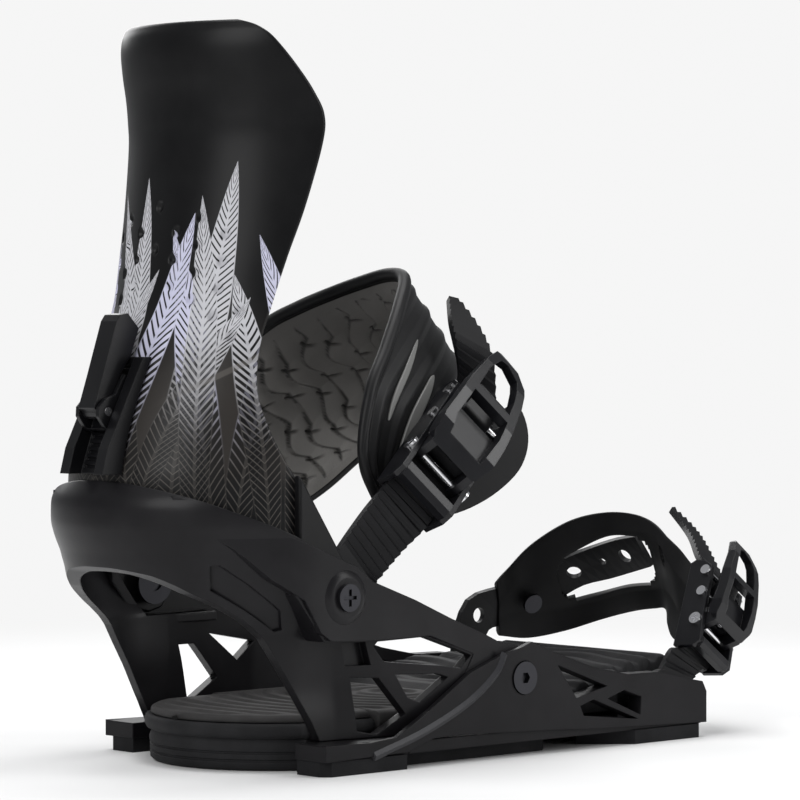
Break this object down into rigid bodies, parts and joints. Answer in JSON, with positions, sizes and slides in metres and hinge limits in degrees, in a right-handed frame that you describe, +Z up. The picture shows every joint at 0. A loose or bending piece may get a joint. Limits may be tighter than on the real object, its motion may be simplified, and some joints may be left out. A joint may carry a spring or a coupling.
{
  "type": "snowboard strap binding",
  "caption": "Strap binding with a folding highback, a buckled ankle pad and toe cap on toothed ladders, a heel hoop and a turning mounting disc.",
  "frame": {"origin": "middle of the mounting disc on the plane of the board", "axes": "+X to the toe, +Y to the side without buckles, +Z up from the board"},
  "size_m": [0.3013, 0.1322, 0.266],
  "materials": {
    "frame_nylon": "satin",
    "hoop_nylon": "satin",
    "foam": "matte",
    "footbed": "matte",
    "steel": "polished",
    "highback_shell": "satin",
    "lever_nylon": "satin",
    "strap_nylon": "satin",
    "pad_skin": "matte",
    "pad_foam": "matte",
    "buckle_metal": "anodised",
    "pawl_nylon": "satin",
    "cap_rubber": "matte"
  },
  "bodies": {
    "base": {"baseplate": "frame_nylon", "rear_board_pads": "foam", "front_board_pads": "foam", "mid_cushions": "foam", "heel_cushion": "foam", "heel_footbed": "footbed", "toe_ramp": "foam", "heel_hoop": "hoop_nylon", "hoop_screws": "steel", "hoop_nuts": "steel", "pivot_screws": "steel", "pivot_nuts": "steel", "toe_strap_screws": "steel"},
    "disc": {"mounting_disc": "frame_nylon"},
    "highback": {"highback": "highback_shell", "lean_guide": "frame_nylon"},
    "lean_block": {"lean_block": "lever_nylon", "lean_lever_pin": "steel"},
    "lean_lever": {"lean_lever": "lever_nylon"},
    "ankle_strap": {"ankle_connector": "strap_nylon", "ankle_connector_screw": "steel", "ankle_connector_nut": "steel", "ankle_pad_frame": "pad_skin", "ankle_pad_liner": "pad_foam", "ankle_pad_wing": "pad_skin", "ankle_buckle_base": "buckle_metal", "ankle_lever_axle": "steel", "ankle_release_rivet": "steel", "ankle_guide_rivet": "steel", "ankle_release_spring": "steel", "ankle_buckle_rivet": "steel"},
    "ankle_ladder": {"ankle_ladder": "strap_nylon"},
    "ankle_lever": {"ankle_lever": "buckle_metal", "ankle_drive_pin": "steel", "ankle_drive_spring": "steel"},
    "ankle_drive": {"ankle_drive_pawl": "pawl_nylon"},
    "ankle_release": {"ankle_release_lever": "pawl_nylon"},
    "toe_strap": {"toe_connector": "strap_nylon", "toe_connector_screw": "steel", "toe_connector_nut": "steel", "toe_cap": "cap_rubber", "toe_buckle_base": "buckle_metal", "toe_lever_axle": "steel", "toe_release_rivet": "steel", "toe_guide_rivet": "steel", "toe_release_spring": "steel", "toe_buckle_rivet": "steel"},
    "toe_ladder": {"toe_ladder": "strap_nylon"},
    "toe_lever": {"toe_lever": "buckle_metal", "toe_drive_pin": "steel", "toe_drive_spring": "steel"},
    "toe_drive": {"toe_drive_pawl": "pawl_nylon"},
    "toe_release": {"toe_release_lever": "pawl_nylon"}
  },
  "joints": [
    {"name": "disc_turn", "type": "hinge", "parent": "base", "child": "disc", "pos_m": [0, 0, 0], "axis": [0, 0, 1], "range_deg": [-30, 30]},
    {"name": "highback_fold", "type": "hinge", "parent": "base", "child": "highback", "pos_m": [-0.087, 0, 0.0625], "axis": [0, 1, 0], "range_deg": [0, 45]},
    {"name": "ankle_strap_swing", "type": "hinge", "parent": "base", "child": "ankle_strap", "pos_m": [-0.087, 0, 0.0625], "axis": [0, 1, 0], "range_deg": [0, 19]},
    {"name": "ankle_ladder_swing", "type": "hinge", "parent": "base", "child": "ankle_ladder", "pos_m": [-0.087, 0, 0.0625], "axis": [0, 1, 0], "range_deg": [0, 19]},
    {"name": "lean_slide", "type": "slide", "parent": "highback", "child": "lean_block", "axis": [-0.3272, 0, -0.9449], "range_m": [0, 0.014]},
    {"name": "lean_lever_open", "type": "hinge", "parent": "lean_block", "child": "lean_lever", "pos_m": [-0.151, 0, 0.128], "axis": [0, -1, 0], "range_deg": [0, 100]},
    {"name": "ankle_lever_open", "type": "hinge", "parent": "ankle_strap", "child": "ankle_lever", "pos_m": [-0.03998, -0.0562, 0.10608], "axis": [0.631, -0.2995, -0.7156], "range_deg": [0, 60]},
    {"name": "ankle_drive_swing", "type": "hinge", "parent": "ankle_lever", "child": "ankle_drive", "pos_m": [-0.03405, -0.05778, 0.11197], "axis": [-0.631, 0.2995, 0.7156], "range_deg": [0, 15], "stiffness_Nm_per_rad": 0.02, "springref_deg": -11.46},
    {"name": "ankle_release_lift", "type": "hinge", "parent": "ankle_strap", "child": "ankle_release", "pos_m": [-0.02604, -0.05271, 0.11692], "axis": [0.631, -0.2995, -0.7156], "range_deg": [0, 6], "stiffness_Nm_per_rad": 0.04, "springref_deg": -11.46},
    {"name": "toe_strap_swing", "type": "hinge", "parent": "base", "child": "toe_strap", "pos_m": [0.081, 0, 0.017], "axis": [0, 1, 0], "range_deg": [-15, 30]},
    {"name": "toe_ladder_swing", "type": "hinge", "parent": "base", "child": "toe_ladder", "pos_m": [0.081, 0, 0.017], "axis": [0, 1, 0], "range_deg": [-15, 30]},
    {"name": "toe_lever_open", "type": "hinge", "parent": "toe_strap", "child": "toe_lever", "pos_m": [0.1087, -0.05389, 0.03828], "axis": [0.8316, 0.1078, -0.5448], "range_deg": [0, 60]},
    {"name": "toe_drive_swing", "type": "hinge", "parent": "toe_lever", "child": "toe_drive", "pos_m": [0.11201, -0.05542, 0.04304], "axis": [-0.8316, -0.1078, 0.5448], "range_deg": [0, 15], "stiffness_Nm_per_rad": 0.02, "springref_deg": -11.46},
    {"name": "toe_release_lift", "type": "hinge", "parent": "toe_strap", "child": "toe_release", "pos_m": [0.11502, -0.05134, 0.04844], "axis": [0.8316, 0.1078, -0.5448], "range_deg": [0, 6], "stiffness_Nm_per_rad": 0.04, "springref_deg": -11.46}
  ],
  "couplings": [
    {"joint": "ankle_strap_swing", "follows": "highback_fold", "ratio": 0.42},
    {"joint": "ankle_ladder_swing", "follows": "highback_fold", "ratio": 0.42},
    {"joint": "toe_ladder_swing", "follows": "toe_strap_swing", "ratio": 1}
  ]
}
